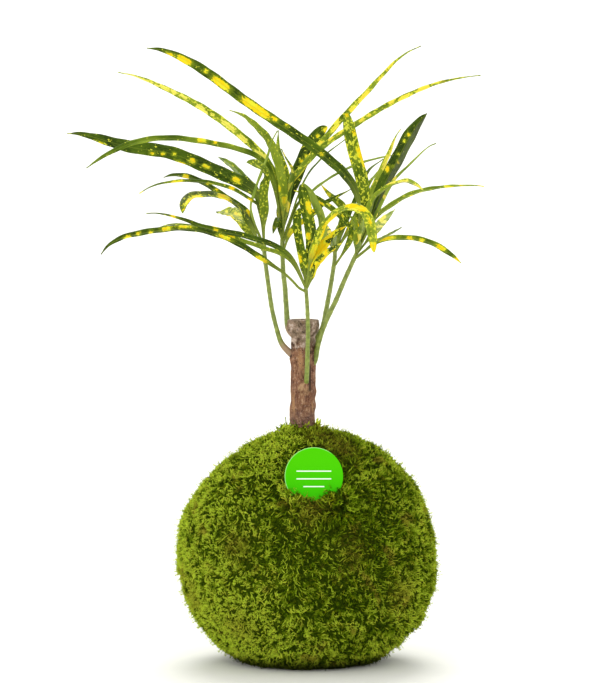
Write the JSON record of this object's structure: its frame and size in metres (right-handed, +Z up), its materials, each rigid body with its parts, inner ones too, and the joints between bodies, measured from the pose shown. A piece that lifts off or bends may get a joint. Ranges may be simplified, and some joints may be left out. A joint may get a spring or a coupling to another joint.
{
  "type": "kokedama moss ball plant",
  "caption": "Moss-wrapped soil ball resting on a small flat spot, with a sawn woody cutting, slender shoots of long yellow-spotted leaves and a round plain label stuck in the moss.",
  "frame": {"origin": "centre of the flat spot under the moss ball, on the surface it rests on", "axes": "+Z up along the trunk, -Y towards the front with the label, +X to the right seen from the front"},
  "size_m": [0.2098, 0.143, 0.3085],
  "materials": {
    "moss": "matte live moss, bright to dark green",
    "soil": "moist dark potting soil",
    "bark": "rough grey-brown bark with a sawn top",
    "leaf": "satin green leaf with yellow spots and a paler underside",
    "label": "satin bright green with plain white write-on lines"
  },
  "bodies": {
    "root": {"moss_cover": "moss", "soil_ball": "soil", "trunk": "bark", "shoot_left": "leaf", "shoot_back": "leaf", "shoot_front": "leaf", "shoot_right_inner": "leaf", "shoot_right_outer": "leaf", "label": "label"}
  },
  "joints": []
}
